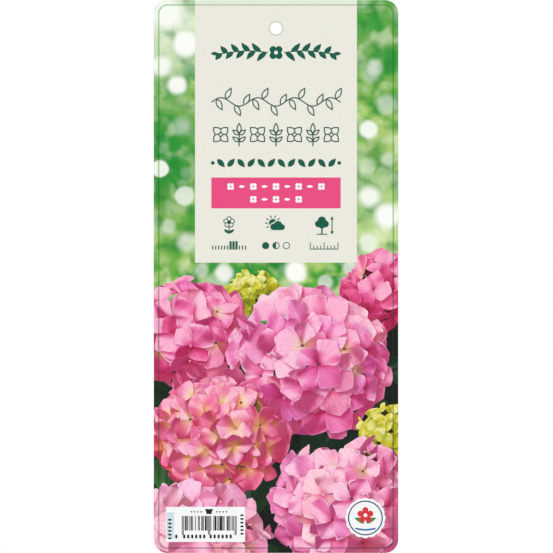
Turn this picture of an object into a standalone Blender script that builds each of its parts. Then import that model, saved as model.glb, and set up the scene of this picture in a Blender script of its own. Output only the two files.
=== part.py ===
# Hanging plant label: a flat tag of polypropylene sheet, die-cut with rounded corners
# and a round punched hole near the top edge, by which it hangs.
# Metres, +Z up. The printed face looks along -Y. The origin is the centre of the hole,
# halfway through the sheet.

import math

import bmesh
import bpy

# Driving dimensions in metres.
TRIM_WIDTH = 0.095           # inside the fine line that runs round the face
TRIM_HEIGHT = 0.220
LINE_INSET = 0.002           # from the fine line out to the cut edge
CORNER_RADIUS = 0.0055
SHEET_THICKNESS = 0.0005
HOLE_DIAMETER = 0.005
HOLE_BELOW_TOP = 0.0115      # from the top edge down to the hole's centre

# Facets of the round stretches.
CORNER_STEPS = 10
HOLE_SIDES = 48
SMOOTH_ANGLE = math.radians(30)

# The cut sheet's own size.
SHEET_WIDTH = TRIM_WIDTH + 2 * LINE_INSET
SHEET_HEIGHT = TRIM_HEIGHT + 2 * LINE_INSET
CUTTER_DEPTH = 4 * SHEET_THICKNESS

# White satin polypropylene.
SHEET_COLOUR = (0.86, 0.87, 0.85, 1.0)
SHEET_ROUGHNESS = 0.38


def clear_scene():
    """Remove the objects that the scene starts with."""
    for item in list(bpy.data.objects):
        bpy.data.objects.remove(item, do_unlink=True)


def sheet_material():
    """White satin plastic sheet."""
    material = bpy.data.materials.new("white_polypropylene")
    material.use_nodes = True
    shader = material.node_tree.nodes["Principled BSDF"]
    shader.inputs["Base Color"].default_value = SHEET_COLOUR
    shader.inputs["Roughness"].default_value = SHEET_ROUGHNESS
    shader.inputs["Metallic"].default_value = 0.0
    return material


def rounded_outline(left, right, bottom, top, radius):
    """Points (x, z) of a rectangle with round corners, anticlockwise from the lower right."""
    centres = [
        (right - radius, bottom + radius, -90),
        (right - radius, top - radius, 0),
        (left + radius, top - radius, 90),
        (left + radius, bottom + radius, 180),
    ]
    points = []
    for centre_x, centre_z, start_degrees in centres:
        for step in range(CORNER_STEPS + 1):
            angle = math.radians(start_degrees + 90 * step / CORNER_STEPS)
            x = centre_x + radius * math.cos(angle)
            z = centre_z + radius * math.sin(angle)
            points.append((x, z))
    return points


def extruded(name, outline, depth):
    """A closed solid: the outline in the XZ plane, extruded evenly to both sides of Y = 0."""
    shape = bmesh.new()
    corners = [shape.verts.new((x, -depth / 2, z)) for x, z in outline]
    face = shape.faces.new(corners)
    pulled = bmesh.ops.extrude_face_region(shape, geom=[face])
    moved = [item for item in pulled["geom"] if isinstance(item, bmesh.types.BMVert)]
    bmesh.ops.translate(shape, verts=moved, vec=(0, depth, 0))
    bmesh.ops.recalc_face_normals(shape, faces=shape.faces)
    mesh = bpy.data.meshes.new(name)
    shape.to_mesh(mesh)
    shape.free()
    solid = bpy.data.objects.new(name, mesh)
    bpy.context.collection.objects.link(solid)
    return solid


def hole_cutter(name, diameter):
    """A rod along Y through the origin, wider apart than the sheet is thick."""
    circle = []
    for side in range(HOLE_SIDES):
        angle = 2 * math.pi * side / HOLE_SIDES
        circle.append((diameter / 2 * math.cos(angle), diameter / 2 * math.sin(angle)))
    cutter = extruded(name, circle, CUTTER_DEPTH)
    cutter.hide_render = True
    cutter.display_type = "WIRE"
    return cutter


def label_sheet():
    """The die-cut sheet with its hanging hole."""
    top = HOLE_BELOW_TOP
    outline = rounded_outline(
        -SHEET_WIDTH / 2, SHEET_WIDTH / 2, top - SHEET_HEIGHT, top, CORNER_RADIUS
    )
    sheet = extruded("label_sheet", outline, SHEET_THICKNESS)
    sheet.data.materials.append(sheet_material())
    punch = sheet.modifiers.new("hanging_hole", "BOOLEAN")
    punch.operation = "DIFFERENCE"
    punch.solver = "EXACT"
    punch.object = hole_cutter("hole_punch", HOLE_DIAMETER)
    sheet.data.shade_smooth()
    sheet.data.set_sharp_from_angle(angle=SMOOTH_ANGLE)
    return sheet


def main():
    clear_scene()
    label_sheet()


main()
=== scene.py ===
import math

import bmesh
import bpy
import numpy as np
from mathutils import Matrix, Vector
from mathutils.geometry import delaunay_2d_cdt


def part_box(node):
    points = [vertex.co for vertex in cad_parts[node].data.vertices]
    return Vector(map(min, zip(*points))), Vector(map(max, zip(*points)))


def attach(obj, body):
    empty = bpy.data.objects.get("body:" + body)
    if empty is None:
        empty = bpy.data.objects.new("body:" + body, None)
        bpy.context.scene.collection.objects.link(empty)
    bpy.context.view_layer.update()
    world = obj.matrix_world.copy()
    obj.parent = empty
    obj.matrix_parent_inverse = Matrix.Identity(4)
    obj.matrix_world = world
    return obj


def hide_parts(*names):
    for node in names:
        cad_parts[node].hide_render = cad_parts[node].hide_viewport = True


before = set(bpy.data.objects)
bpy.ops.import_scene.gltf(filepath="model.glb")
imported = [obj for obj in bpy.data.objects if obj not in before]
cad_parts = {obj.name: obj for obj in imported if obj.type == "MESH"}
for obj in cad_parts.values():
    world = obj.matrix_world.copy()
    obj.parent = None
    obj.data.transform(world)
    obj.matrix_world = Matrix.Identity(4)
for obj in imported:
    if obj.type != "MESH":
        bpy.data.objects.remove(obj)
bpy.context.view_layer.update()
mm = 0.001

sheetLow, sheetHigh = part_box("label_sheet")
sheet = {
    "left": sheetLow.x / mm,
    "right": sheetHigh.x / mm,
    "bottom": sheetLow.z / mm,
    "top": sheetHigh.z / mm,
    "front": sheetLow.y / mm,
    "back": sheetHigh.y / mm,
    "cornerRadius": 5.5,
    "holeRadius": 2.5,
    "cornerSteps": 12,
    "holeSides": 64,
    "colours": ("#EDEFEC", "#F6F7F5"),
    "mottle": 9.0,          # width of the faint clouds in its white
}
# a thin line of transparent grey-green ink printed round the face
fineLine = {
    "inset": 2.0,
    "radius": 3.6,
    "width": 0.6,
    "strength": 0.9,
    "softEdge": (0.35, 0.65),  # of its width, from where it is full to where it ends
    "tint": "#10200F",
    # the share of red, green and blue that it lets through from the ink below
    "overGreen": (0.34, 0.58, 0.32),
    "overPetals": (0.44, 0.44, 0.44),
    "overPanel": (0.61, 0.63, 0.58),
}
ink = {"proud": 0.02, "sunk": 0.01}  # one film of ink above and below the face it lies on
print("frame loaded, sheet", round(sheet["right"] - sheet["left"], 1), "mm wide")


def linear(hexColour):
    # sRGB hex to the linear numbers that shaders take
    parts = [int(hexColour[i:i + 2], 16) / 255 for i in (1, 3, 5)]
    return tuple(p / 12.92 if p <= 0.04045 else ((p + 0.055) / 1.055) ** 2.4 for p in parts)


def rgba(hexColour):
    return (*linear(hexColour), 1.0)


def addNode(tree, kind, inputs=None, **properties):
    # an input takes a number or colour, another node's socket, or a node for its first output in use
    node = tree.nodes.new("ShaderNode" + kind)
    for name, value in properties.items():
        setattr(node, name, value)
    for socket, value in (inputs or {}).items():
        if isinstance(value, bpy.types.Node):
            value = next(output for output in value.outputs if output.enabled)
        if isinstance(value, bpy.types.NodeSocket):
            tree.links.new(value, node.inputs[socket])
        else:
            node.inputs[socket].default_value = value
    return node


# Outlines: lists of (x, z) points in millimetres

def around(x, z, radius, angle):
    return (x + radius * math.cos(angle), z + radius * math.sin(angle))


def disc(x, z, radius, sides=20):
    return [around(x, z, radius, 2 * math.pi * i / sides) for i in range(sides)]


def roundedBox(left, right, bottom, top, radius, steps=4):
    corners = (
        (right - radius, bottom + radius, -90),
        (right - radius, top - radius, 0),
        (left + radius, top - radius, 90),
        (left + radius, bottom + radius, 180),
    )
    points = []
    for x, z, start in corners:
        points += [around(x, z, radius, math.radians(start + 90 * i / steps)) for i in range(steps + 1)]
    return points


def box(left, right, bottom, top):
    return [(left, bottom), (right, bottom), (right, top), (left, top)]


def leafOutline(x, z, length, width, degrees, steps=10, bend=0.0):
    # a pointed leaf from its foot at x, z; bend bows its midrib to one side
    wayX, wayZ = around(0, 0, 1, math.radians(degrees))
    points = []
    for side, order in ((-1, range(steps + 1)), (1, range(steps - 1, 0, -1))):
        for i in order:
            t = i / steps
            bow = bend * length * 4 * t * (1 - t)
            s = side * width / 2 * math.sin(math.pi * t ** 0.8) ** 0.9 + bow if 0 < t < 1 else 0.0
            points.append((x + wayX * length * t - wayZ * s, z + wayZ * length * t + wayX * s))
    return points


def leaning(degrees, side):
    # the same slope to the right, where side is 1, or to the left
    return degrees if side > 0 else 180 - degrees


def blossomOutline(x, z, radius, petals, degrees=0.0, notch=0.45, sides=60):
    # a flat blossom: round petals round a centre, notch is how far they are cut in
    points = []
    for i in range(sides):
        a = 2 * math.pi * i / sides
        wave = abs(math.cos(petals * a / 2)) ** 0.6
        points.append(around(x, z, radius * (1 - notch + notch * wave), a + math.radians(degrees)))
    return points


def strokeOutline(path, width):
    # a line of even width along a path, with round ends
    points = [Vector(p) for p in path]
    leftSide = []
    rightSide = []
    for i, point in enumerate(points):
        way = (points[min(i + 1, len(points) - 1)] - points[max(i - 1, 0)]).normalized()
        across = Vector((-way.y, way.x)) * width / 2
        leftSide.insert(0, point + across)
        rightSide.append(point - across)
    caps = []
    for point, neighbour in ((points[-1], points[-2]), (points[0], points[1])):
        way = (point - neighbour).normalized()
        start = math.atan2(way.y, way.x) - math.pi / 2
        turns = [start + math.pi * i / 6 for i in range(1, 6)]
        caps.append([point + Vector((math.cos(a), math.sin(a))) * width / 2 for a in turns])
    return [(p.x, p.y) for p in rightSide + caps[0] + leftSide + caps[1]]


def inset(outline, amount):
    # the same closed outline, moved inwards (anticlockwise outlines)
    points = [Vector(p) for p in outline]
    moved = []
    for i, point in enumerate(points):
        way = (points[(i + 1) % len(points)] - points[i - 1]).normalized()
        moved.append((point.x - way.y * amount, point.y + way.x * amount))
    return moved


def anticlockwise(outline):
    x, z = np.array(outline).T
    doubleArea = np.sum(x * np.roll(z, -1) - np.roll(x, -1) * z)
    return outline if doubleArea > 0 else outline[::-1]


def planarMap(outlines, loose=()):
    # cuts overlapping outlines into triangles; covers says which outlines lie over each triangle
    points = []
    faces = []
    for outline in map(anticlockwise, outlines):
        faces.append(list(range(len(points), len(points) + len(outline))))
        points += [Vector(p) for p in outline]
    points += [Vector(p) for p in loose]
    tolerance = 0.0005
    found = delaunay_2d_cdt(points, [], faces, 1, tolerance, True)
    corners, triangles, covers = np.array([tuple(p) for p in found[0]]), found[2], found[5]
    return corners, triangles, covers


# Meshes

def flatFaces(corners, triangles, y):
    # a mesh in the making, with these triangles for its front
    shape = bmesh.new()
    verts = {}
    for i in np.unique(triangles):
        verts[i] = shape.verts.new((corners[i][0] * mm, y * mm, corners[i][1] * mm))
    for triangle in triangles:
        shape.faces.new([verts[i] for i in triangle])
    return shape


def moveTo(pulled, y):
    for item in pulled:
        if isinstance(item, bmesh.types.BMVert):
            item.co.y = y * mm


def finishMesh(name, shape):
    mesh = bpy.data.meshes.new(name)
    shape.to_mesh(mesh)
    shape.free()
    return mesh


def giveBakeMap(mesh, frontLoops=None, frontShare=0.82, gap=0.02):
    # a flat map seen from the front, named OFBake; where the front's loops
    # are counted they take their share of the map, and the back and the edges the rest
    co = np.zeros(len(mesh.vertices) * 3, np.float32)
    mesh.vertices.foreach_get("co", co)
    loopVerts = np.zeros(len(mesh.loops), np.int32)
    mesh.loops.foreach_get("vertex_index", loopVerts)
    co = co.reshape(-1, 3)
    u, _, v = ((co - co.min(axis=0)) / np.ptp(co, axis=0))[loopVerts].T
    if frontLoops:
        rest = frontShare + gap + u * (1 - frontShare - 2 * gap)
        u = np.where(np.arange(len(u)) < frontLoops, u * frontShare, rest)
    layer = mesh.uv_layers.new(name="OFBake")
    layer.data.foreach_set("uv", np.stack([u, v], axis=1).astype(np.float32).ravel())


def link(name, mesh, materials):
    piece = bpy.data.objects.new(name, mesh)
    bpy.context.scene.collection.objects.link(piece)
    for material in materials:
        mesh.materials.append(material)
    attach(piece, "root")
    return piece


def inkFilm(name, layers, inkAndSlot, level=1):
    # a film of one ink: layers are (outline, True to add or False to cut), later ones over earlier
    corners, triangles, covers = planarMap([outline for outline, adds in layers])
    kept = [t for t, over in zip(triangles, covers) if over and layers[max(over)][1]]
    shape = flatFaces(corners, kept, sheet["front"] - ink["proud"] * level)
    bmesh.ops.recalc_face_normals(shape, faces=shape.faces)
    shape.normal_update()
    if sum(face.normal.y for face in shape.faces) > 0:
        bmesh.ops.reverse_faces(shape, faces=shape.faces)
    pulled = bmesh.ops.extrude_face_region(shape, geom=shape.faces[:], use_keep_orig=True)
    moveTo(pulled["geom"], sheet["front"] + ink["sunk"])
    bmesh.ops.recalc_face_normals(shape, faces=shape.faces)
    mesh = finishMesh(name, shape)
    giveBakeMap(mesh)
    material, slot = inkAndSlot
    return link(name, mesh, [material])


# The flower picture, worked out on numbers before it becomes the face of the sheet

picture = {
    "top": -88.0,           # below this the face is cut finely enough to shade petals
    "grain": 0.66,          # distance between the points that carry shading
    "stray": 0.3,           # share of it by which they stand out of line
    "margin": 0.2,          # they keep this far from the cut edge
    "seed": 20,
    "overhang": 1.15,       # how far petals reach past their head's outline
    "domeShare": 0.93,      # of the head's radii, where the florets' middles end
    "stalkWidth": 0.7,
    # half of the outline of a stalk, waisted in the middle, in shares of its length and width
    "stalk": ((0.0, 0.5), (0.5, 0.38), (1.0, 0.5)),
}
# a pair is a range that each petal or floret falls in by chance, or a mean and a spread where it says so
petalRules = {
    "widest": 1.14,         # power that puts the widest place beyond the middle
    "round": 0.84,          # power that rounds the sides
    "point": 0.38,          # share of a plain rhombus in the outline, which draws out the tip
    "shoulder": 0.56,       # where that rhombus is widest
    "ends": (0.03, 0.985),
    "steps": 11,
    "ruffle": 0.05,         # how far the edge of a petal waves
    "floretSize": (0.84, 1.14),
    "length": (0.88, 1.14),
    "width": (0.98, 1.26),
    "cup": (0.16, 0.30),    # mean and spread of the tilt out of the floret's plane
    "twist": (0, 0.30),     # and of the twist round the midrib
    "turn": (0, 0.12),      # of the turn away from an even cross of four
    "shear": (0, 0.12),     # and of the lean of a petal's sides
    "curl": (-0.16, 0.24),  # mean and spread of how far the tip bends up or back
    "crease": (0.20, 0.26),  # of how far the two halves fold up along the midrib
    "frill": (0.10, 0.03),  # of the waves of the surface near its edge
    "edgeOn": 0.16,         # petals that show less than this share of their area are left out
    "young": 0.14,          # share of florets with a creamy heart, and of those with a dark eye
    "darkEyed": 0.5,
    "rolled": 0.34,         # share of petals with a stretch of edge rolled over: from, length, width
    "rollFrom": (0.2, 0.5),
    "rollLength": (0.3, 0.48),
    "rollWidth": (0.08, 0.19),
    "bead": (0.05, 0.08),   # radius of the floret's eye, as a share of its size
}

# back to front; size is the reach of one floret, pole where the head's crown points
flowerHeads = [
    {"at": (-9, -108), "radii": (12, 9), "count": 34, "size": 4.2, "pole": (0.1, 0.4),
     "rim": "#F6F17A", "mid": "#DCDD48", "heart": "#A9BC3A", "spread": 0.6, "seed": 71},
    {"at": (45, -107), "radii": (17, 16), "count": 32, "size": 7.4, "pole": (0.2, 0.5),
     "rim": "#FE9CCC", "mid": "#F86EAC", "heart": "#E4468C", "spread": 0.5, "seed": 3},
    {"at": (-37, -124), "radii": (24, 21), "count": 42, "size": 9.6, "pole": (-0.1, 0.35),
     "rim": "#FFB4D8", "mid": "#FA7AB6", "heart": "#EA5298", "spread": 0.5, "seed": 11},
    {"at": (13, -135), "radii": (30, 28), "count": 56, "size": 11.2, "pole": (0.15, 0.3),
     "rim": "#FFC8E2", "mid": "#FC8EC2", "heart": "#F05C9C", "spread": 0.5, "seed": 5},
    {"at": (46, -164), "radii": (13, 11), "count": 38, "size": 4.6, "pole": (-0.2, 0.3),
     "rim": "#F8F072", "mid": "#E0DC44", "heart": "#B2BC38", "spread": 0.6, "seed": 29},
    {"at": (-23, -166), "radii": (26, 22), "count": 64, "size": 8.4, "pole": (0.0, 0.25),
     "rim": "#FB86BC", "mid": "#FBA2BE", "heart": "#FCE28A", "spread": 0.62, "seed": 17},
    {"at": (28, -193), "radii": (28, 24), "count": 54, "size": 10.4, "pole": (0.1, 0.4),
     "rim": "#FFCCE2", "mid": "#FD9CC8", "heart": "#F06CA2", "spread": 0.5, "seed": 41},
    {"at": (-33, -208), "radii": (27, 22), "count": 48, "size": 10.8, "pole": (-0.1, 0.4),
     "rim": "#FFD3E6", "mid": "#FEAACE", "heart": "#F478AC", "spread": 0.5, "seed": 53},
]

leafRules = {
    "count": 44,
    "feet": ((-50, 50), (-215, -112)),
    "length": (20, 34),
    "widthShare": 0.6,
    "teeth": 9,
    "tooth": (-0.04, 0.05),
    "top": -117.0,          # no leaf reaches above this
    "bed": {"middle": -160.0, "reach": 60.0, "foot": -230.0, "top": -116.0},
    "dark": "#06100A",
    "mid": "#123A1C",
    "light": "#3C7A34",
    "seed": 8,
}

# what painting asks of every shape
plain = {
    "light": 0.0, "tone": 0.0, "roll": 0.0, "cast": 0.0, "depth": 0.0, "young": 0.0,
    "curl": 0.0, "crease": 0.0, "frill": 0.0, "phase": 0.0,
    "rollSide": 0.0, "rollFrom": 0.0, "rollTo": 1.0, "rollWidth": 0.0, "head": -1, "floret": -1,
    "along3": (1.0, 0.0, 0.0), "across3": (0.0, 0.0, 1.0), "facing": (0.0, -1.0, 0.0),
}


def unit(vector):
    return vector / np.linalg.norm(vector)


def addShape(shapes, kind, local, **facts):
    # the outline comes in the shape's own measure: t along it and s across it, from its centre
    outline = [tuple(facts["centre"] + t * facts["along"] + s * facts["across"]) for t, s in local]
    shapes.append({**plain, "kind": kind, "outline": outline, **facts})


def intoShape(shape):
    # the matrix that turns an offset from the shape's centre into t and s
    return np.linalg.inv(np.column_stack([shape["along"], shape["across"]]))


def halfWidth(t):
    inside = np.clip(t, 0.0, 1.0)
    rounded = np.sin(np.pi * inside ** petalRules["widest"]) ** petalRules["round"]
    rhombus = np.minimum(inside / petalRules["shoulder"], (1 - inside) / (1 - petalRules["shoulder"]))
    return 0.5 * (rounded + (rhombus - rounded) * petalRules["point"])


def edgeAt(t, side, petal):
    # how far from the midrib the waving edge lies
    wave = math.sin(17 * t + petal["phase"] * side) + 0.6 * math.sin(31 * t - petal["phase"] * 2 * side)
    return side * halfWidth(t) * (1 + petalRules["ruffle"] * wave * (0.4 + t))


def petalEdge(petal):
    ts = np.linspace(*petalRules["ends"], petalRules["steps"])
    left, right = ([(t, edgeAt(t, side, petal)) for t in ts] for side in (-1, 1))
    return left + [(1.0, 0.0)] + right[::-1]


def rollInner(t, petal):
    # inner border of the rolled stretch of edge, as a share of the half width
    share = np.clip((t - petal["rollFrom"]) / (petal["rollTo"] - petal["rollFrom"]), 0, 1)
    return 1 - petal["rollWidth"] * np.sin(np.pi * share)


def rolledEdge(petal):
    ts = np.linspace(petal["rollFrom"], petal["rollTo"], 9)
    outer, inner = ts, ts[-2:0:-1]
    local = [(t, edgeAt(t, petal["rollSide"], petal) * 1.01) for t in outer]
    return local + [(t, edgeAt(t, petal["rollSide"], petal) * rollInner(t, petal)) for t in inner]


def addFloret(shapes, head, place, normal, rng):
    # four petals round an eye, on a plane that faces along the normal
    helper = np.array([0.0, 0.0, 1.0]) if abs(normal[2]) < 0.9 else np.array([1.0, 0.0, 0.0])
    first = unit(np.cross(helper, normal))
    second = np.cross(normal, first)
    start = rng.uniform(0, math.pi / 2)
    size = head["size"] * rng.uniform(*petalRules["floretSize"])
    warm = rng.uniform(0, 1)
    young = rng.uniform(0, 1) < petalRules["young"]
    darkEyed = rng.uniform(0, 1) < petalRules["darkEyed"] and head["size"] > 6
    depth = -normal[1]
    floret = len(shapes)
    petals = []
    for number in range(4):
        turn = start + number * math.pi / 2 + rng.normal(*petalRules["turn"])
        outward = math.cos(turn) * first + math.sin(turn) * second
        sideways = -math.sin(turn) * first + math.cos(turn) * second
        cup = rng.normal(*petalRules["cup"])
        twist = rng.normal(*petalRules["twist"])
        along3 = math.cos(cup) * outward + math.sin(cup) * normal
        raised = unit(np.cross(along3, sideways))
        across3 = math.cos(twist) * sideways + math.sin(twist) * raised
        length = size * rng.uniform(*petalRules["length"])
        width = length * rng.uniform(*petalRules["width"])
        along = along3[[0, 2]] * length
        foot, tip = (np.linalg.norm((p - head["at"]) / head["radii"]) for p in (place, place + along))
        if tip > picture["overhang"]:
            along = along * max(0.35, (picture["overhang"] - foot) / (tip - foot))
        across = across3[[0, 2]] * width + along * rng.normal(*petalRules["shear"])
        shown = abs(along[0] * across[1] - along[1] * across[0]) / (length * width)
        if shown < petalRules["edgeOn"]:
            continue
        facing = unit(np.cross(along3, across3))
        sign = -1 if facing[1] > 0 else 1
        rollFrom = rng.uniform(*petalRules["rollFrom"])
        rolls = rng.uniform(0, 1) < petalRules["rolled"] and shown > 0.5
        petals.append({
            "head": head["number"],
            "floret": floret,
            "centre": place,
            "along": along,
            "across": across,
            "along3": along3,
            "across3": across3,
            "facing": facing * sign,
            "height": -along3[1] * length + rng.normal(0, 0.5),
            "tone": np.clip(warm * 0.55 + rng.uniform(0, 0.45), 0, 1),
            "roll": rng.normal(0, 0.5),
            "cast": warm,
            "depth": depth,
            "young": young,
            "curl": rng.normal(*petalRules["curl"]) * sign,
            "crease": rng.normal(*petalRules["crease"]) * sign,
            "frill": rng.normal(*petalRules["frill"]),
            "phase": rng.uniform(0, 6.28),
            "rollSide": rng.choice([-1, 1]),
            "rollFrom": rollFrom,
            "rollTo": rollFrom + rng.uniform(*petalRules["rollLength"]),
            "rollWidth": rng.uniform(*petalRules["rollWidth"]) if rolls else 0.0,
        })
    for petal in sorted(petals, key=lambda petal: petal["height"]):
        addShape(shapes, "petal", petalEdge(petal), **petal)
        if petal["rollWidth"] > 0:
            addShape(shapes, "rolled", rolledEdge(petal), **petal)
    lean = 0.35 + 0.65 * depth
    ring = [(x, z * lean) for x, z in disc(0, 0, 1, 10)]
    along, across = size * rng.uniform(*petalRules["bead"]) * np.eye(2)
    addShape(shapes, "bead", ring, head=head["number"], floret=floret, centre=place, along=along,
             across=across, young=darkEyed)


def addHead(shapes, head):
    # florets spread evenly over a dome, the farthest first, with their stalks and a dim core behind them
    rng = np.random.default_rng(head["seed"])
    middle = np.array(head["at"], float)
    radii = np.array(head["radii"], float)
    core = []
    for a in np.linspace(0, 2 * math.pi, 40, endpoint=False):
        wave = 0.93 + 0.03 * math.sin(5 * a + head["seed"]) + 0.02 * math.sin(9 * a)
        core.append(around(0, 0, wave, a))
    along, across = np.diag(radii)
    addShape(shapes, "core", core, head=head["number"], centre=middle, along=along, across=across)
    pole = unit(np.array([head["pole"][0], -1.0, head["pole"][1]]))
    sideways = unit(np.cross(pole, np.array([0.0, 0.0, 1.0])))
    upward = np.cross(sideways, pole)
    golden = math.pi * (3 - math.sqrt(5))
    florets = []
    for i in range(head["count"]):
        facing = 1 - 1.12 * (i + 0.5) / head["count"] + rng.normal(0, 0.02)
        ring = math.sqrt(max(0.0, 1 - facing * facing))
        turn = i * golden + rng.normal(0, 0.12)
        way = facing * pole + ring * (math.cos(turn) * sideways + math.sin(turn) * upward)
        if way[1] > 0.02:
            continue
        place = middle + picture["domeShare"] * radii * way[[0, 2]] + rng.normal(0, 0.35, 2)
        normal = unit(way + rng.normal(0, 0.30, 3))
        if normal[1] > -0.1:
            normal = unit(way)
        florets.append((-way[1] + rng.normal(0, 0.06), place, normal))
    florets.sort(key=lambda floret: floret[0])
    stalk = [(t, -s) for t, s in picture["stalk"]] + list(picture["stalk"][::-1])
    for _, place, _ in florets:
        # its stalk, which shows in the gaps between the petals
        foot = middle + (place - middle) * 0.35 + rng.normal(0, 0.8, 2)
        along = place - foot
        length = np.linalg.norm(along)
        across = np.array([-along[1], along[0]]) / max(length, 0.5) * picture["stalkWidth"]
        if length > 2.0:
            addShape(shapes, "stalk", stalk, head=head["number"], centre=foot, along=along, across=across,
                     tone=rng.uniform(0, 1))
    for _, place, normal in florets:
        addFloret(shapes, head, place, normal, rng)


def addLeaves(shapes):
    # a dark bed behind the heads, then toothed leaves over it
    bed = leafRules["bed"]
    edge = [(-bed["reach"], bed["foot"]), (bed["reach"], bed["foot"]), (bed["reach"], bed["top"])]
    for x in np.linspace(bed["reach"], -bed["reach"], 25):
        edge.append((x, bed["top"] + 3.5 * math.sin(x * 0.16) + 2.0 * math.sin(x * 0.41 + 1)))
    local = [(x / bed["reach"], (z - bed["middle"]) / bed["reach"]) for x, z in edge]
    along, across = bed["reach"] * np.eye(2)
    addShape(shapes, "bed", local, centre=np.array([0.0, bed["middle"]]), along=along, across=across)
    rng = np.random.default_rng(leafRules["seed"])
    steps = leafRules["teeth"] * 2
    for _ in range(leafRules["count"]):
        foot = np.array([rng.uniform(*reach) for reach in leafRules["feet"]])
        turn = rng.uniform(0, 2 * math.pi)
        length = rng.uniform(*leafRules["length"])
        if foot[1] + math.sin(turn) * length > leafRules["top"]:
            turn = -turn
        along = np.array([math.cos(turn), math.sin(turn)]) * length
        width = length * leafRules["widthShare"] * rng.uniform(0.6, 1)
        across = np.array([-math.sin(turn), math.cos(turn)]) * width
        half = []
        for k in range(1, steps):
            tooth = 1.0 + leafRules["tooth"][k % 2]
            half.append((k / steps, 0.5 * math.sin(math.pi * (k / steps) ** 0.85) * tooth))
        local = [(t, -s) for t, s in half] + [(1.0, 0.0)] + half[::-1]
        addShape(shapes, "leaf", local, centre=foot, along=along, across=across,
                 light=rng.uniform(0.2, 0.9), tone=rng.uniform(0, 1), roll=rng.normal(0, 0.4))


def shapesThatShow(shapes):
    # shapes that later petals cover all over are left out, but for the bed
    petals = np.array([i for i, shape in enumerate(shapes) if shape["kind"] == "petal"])
    centres = np.array([shapes[i]["centre"] for i in petals])
    frames = {i: intoShape(shapes[i]) for i in petals}
    kept = []
    for i, shape in enumerate(shapes):
        outline = np.array(shape["outline"])
        middle = outline.mean(axis=0)
        samples = np.vstack([outline, middle + (outline - middle) * 0.6, middle])
        free = np.ones(len(samples), bool)
        reach = 2 * (np.ptp(samples, axis=0).max() + 14)
        apart = np.abs(centres - shape["centre"]).sum(axis=1)
        for j in petals[(petals > i) & (apart <= reach)]:
            t, s = frames[j] @ (samples - shapes[j]["centre"]).T
            free &= ~((t > 0.03) & (t < 0.97) & (np.abs(s) < halfWidth(t) * 0.97))
            if not free.any():
                break
        if free.any() or shape["kind"] == "bed":
            kept.append(shape)
    return kept


# The picture's light and colours

shadows = {
    "reach": (0.9, -1.3),   # where the shadow of a petal falls
    "margin": 2.5,
    "strength": (0.32, 0.68),  # on petals of its own floret, and on others
    # cast shadow, shadow close to the edge, dimness under the petal: share of the reach, softness, weight
    "passes": ((1.0, 0.16, 1.0), (0.25, 0.09, 1.34), (0.0, 0.34, 0.6)),
    "head": 0.78,           # strength of a whole head's shadow, its shift, and where it starts and is full
    "headShift": (1.5, -2.5),
    "headRim": (1.42, 1.08),
}
# the light on the petals and what it makes of their tints
light = {
    "from": (-0.46, -0.62, 0.64),
    "shares": (0.62, 0.26, 0.12),  # of the key, of the open sky and of what faces the viewer
    "black": 0.02,          # light at which a petal is darkest, and how much more makes it full
    "range": 0.65,
    "depth": (0.76, 0.30),  # florets that face away are dimmer
    "petalPlay": 0.17,      # how much one petal differs from the next in brightness
    "foot": (0.70, 0.28),   # the foot of a petal is dimmer: to this share, up to there
    "cast": 0.84,           # how much a shadow takes away, and the dimness beside a rolled edge
    "underRoll": 0.55,
    # light falling in and light as printed: the middle tones are opened, the brightest held back
    "toneCurve": ((0.0, 0.2, 0.4, 0.6, 0.8, 1.0, 1.2), (0.0, 0.17, 0.46, 0.70, 0.84, 0.96, 1.10)),
    "deepen": 1.42,         # how much richer the colour grows in the shade, as light bounces between petals
    "skyTint": (-0.02, 0.0, 0.03),  # petals turned from the sun take the cooler light of the sky
    "glare": (0.82, 1.20),  # the brightest places fade to white, up to this share
    "glareShare": 0.34,
}
tints = {
    "youngHeart": "#F0E2A6",
    "darkEye": "#5E1F38",
    "stalk": "#C9CF86",
    "ageing": (-0.03, -0.01, 0.10),  # older florets lean to lilac, younger ones to salmon
    "paleEdge": (0.80, 1.0),  # across and along the petal, where its paler rim begins and is full
    "paleTip": (0.88, 1.0),
    "paleShare": 0.45,
    "beadRim": (0.62, 0.22, 0.40),  # the floret's eye and the stalk against the rim of its petals
    "stalkRim": (0.92, 0.55, 0.62),
    "leafGloss": (0.07, 0.13, 0.09),
}


def smooth(value, low, high):
    # 0 at low and 1 at high, with soft ends; low may be the higher of the two
    share = np.clip((value - low) / (high - low), 0, 1)
    return share * share * (3 - 2 * share)


def mix(a, b, share):
    return a + (b - a) * share[:, None]


def castShadows(shapes, points, owner):
    # how far each corner lies in the shade of the petals and heads over it
    shade = np.zeros(len(points))
    order = np.argsort(points[:, 0])
    sortedX = points[order, 0]
    floretOf, headOf = (np.array([shape[key] for shape in shapes])[owner] for key in ("floret", "head"))
    for number, shape in enumerate(shapes):
        if shape["kind"] != "petal":
            continue
        low = np.min(shape["outline"], axis=0) - shadows["margin"]
        high = np.max(shape["outline"], axis=0) + shadows["margin"]
        first, last = np.searchsorted(sortedX, (low[0], high[0]))
        near = order[first:last]
        near = near[(points[near, 1] > low[1]) & (points[near, 1] < high[1]) & (owner[near] < number)]
        strength = np.where(floretOf[near] == shape["floret"], *shadows["strength"])
        into = intoShape(shape)
        for share, soft, weight in shadows["passes"]:
            t, s = into @ (points[near] - np.multiply(share, shadows["reach"]) - shape["centre"]).T
            edge = halfWidth(t) - np.abs(s)
            ends = np.minimum(t + 0.05, 1.04 - t) * 0.8
            inside = smooth(np.minimum(edge, ends), -soft / 2, soft / 2)
            shade[near] = np.maximum(shade[near], inside * strength * weight)
    for number, head in enumerate(flowerHeads):
        below = headOf < number
        away = (points[below] - np.add(head["at"], shadows["headShift"])) / head["radii"]
        dim = shadows["head"] * smooth(np.linalg.norm(away, axis=1), *shadows["headRim"])
        shade[below] = np.maximum(shade[below], dim)
    return shade


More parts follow.
